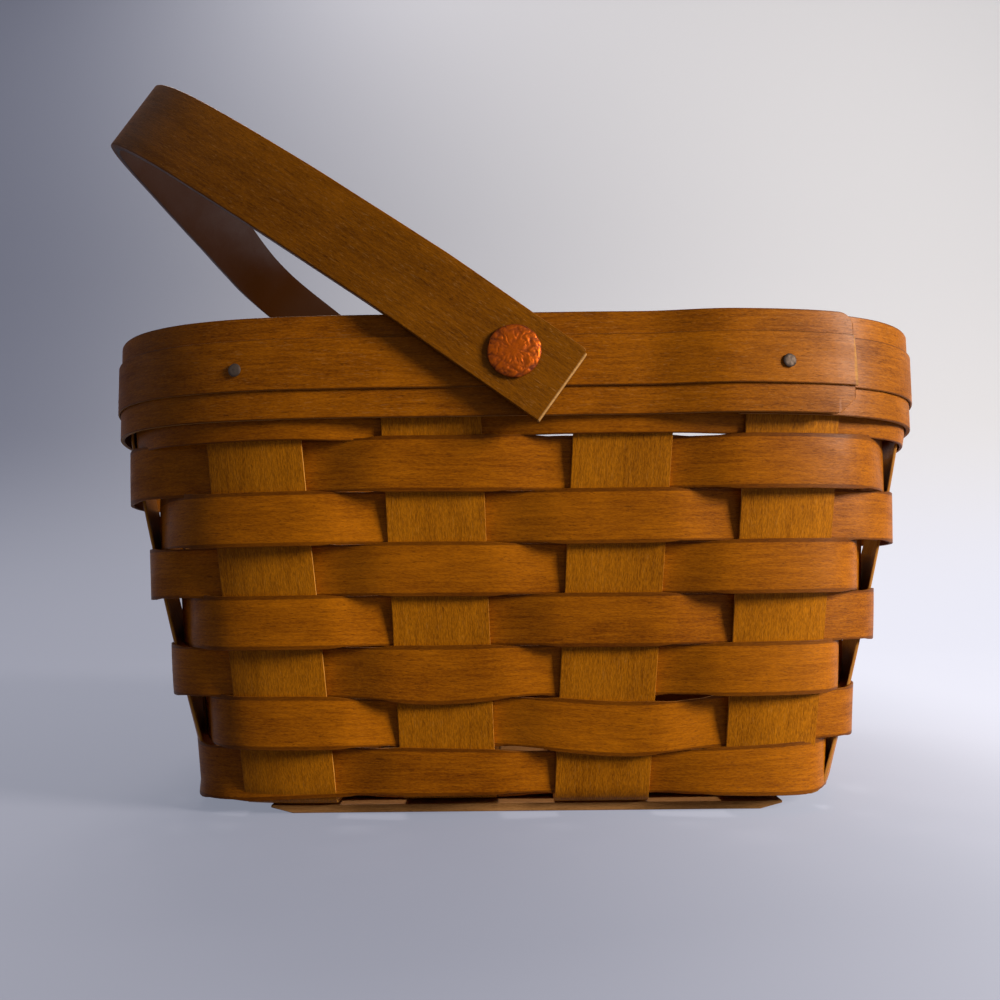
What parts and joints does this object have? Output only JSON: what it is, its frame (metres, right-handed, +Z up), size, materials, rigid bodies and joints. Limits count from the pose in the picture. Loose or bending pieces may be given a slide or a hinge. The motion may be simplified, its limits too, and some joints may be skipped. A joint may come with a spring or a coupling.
{
  "type": "splint basket",
  "caption": "Square splint-woven basket with tapered walls, round-cornered rim bands, tacks and one riveted swing handle.",
  "frame": {"origin": "on the floor under the middle of the basket, in the underside of the middle base runner", "axes": "+Z up; +Y from the front wall to the back wall, along the handle's pivot line; +X to the right, away from the side that the handle leans to"},
  "size_m": [0.2412, 0.251, 0.2111],
  "materials": {
    "stake_splint": "stained and oiled maple splint, upright grain",
    "weaver_splint": "stained and oiled maple splint, grain along the strip",
    "rim_splint": "stained and oiled maple band, satin",
    "runner_splint": "stained maple slat, dull",
    "handle_wood": "stained and oiled bent maple, satin",
    "rivet_copper": "hammered copper, slightly dulled",
    "tack_iron": "dark iron tack, dull"
  },
  "bodies": {
    "basket": {"stake_lengthwise_1": "stake_splint", "stake_lengthwise_2": "stake_splint", "stake_lengthwise_3": "stake_splint", "stake_lengthwise_4": "stake_splint", "stake_crosswise_1": "stake_splint", "stake_crosswise_2": "stake_splint", "stake_crosswise_3": "stake_splint", "stake_crosswise_4": "stake_splint", "weaver_1": "weaver_splint", "weaver_2": "weaver_splint", "weaver_3": "weaver_splint", "weaver_4": "weaver_splint", "weaver_5": "weaver_splint", "weaver_6": "weaver_splint", "weaver_7": "weaver_splint", "weaver_8": "weaver_splint", "weaver_9": "weaver_splint", "rim_band_outer": "rim_splint", "rim_band_inner": "rim_splint", "rim_trim_strip": "rim_splint", "base_runner_front": "runner_splint", "base_runner_middle": "runner_splint", "base_runner_back": "runner_splint", "tack_front_left": "tack_iron", "tack_front_right": "tack_iron", "tack_back_left": "tack_iron", "tack_back_right": "tack_iron", "tack_right_front": "tack_iron", "tack_right_back": "tack_iron", "tack_left_front": "tack_iron", "tack_left_back": "tack_iron", "rivet_front": "rivet_copper", "rivet_back": "rivet_copper", "rivet_washer_front": "rivet_copper", "rivet_washer_back": "rivet_copper"},
    "handle": {"handle": "handle_wood"}
  },
  "joints": [
    {"name": "handle_swing", "type": "hinge", "parent": "basket", "child": "handle", "pos_m": [0, 0, 0.1192], "axis": [0, 1, 0], "range_deg": [0, 108]}
  ]
}
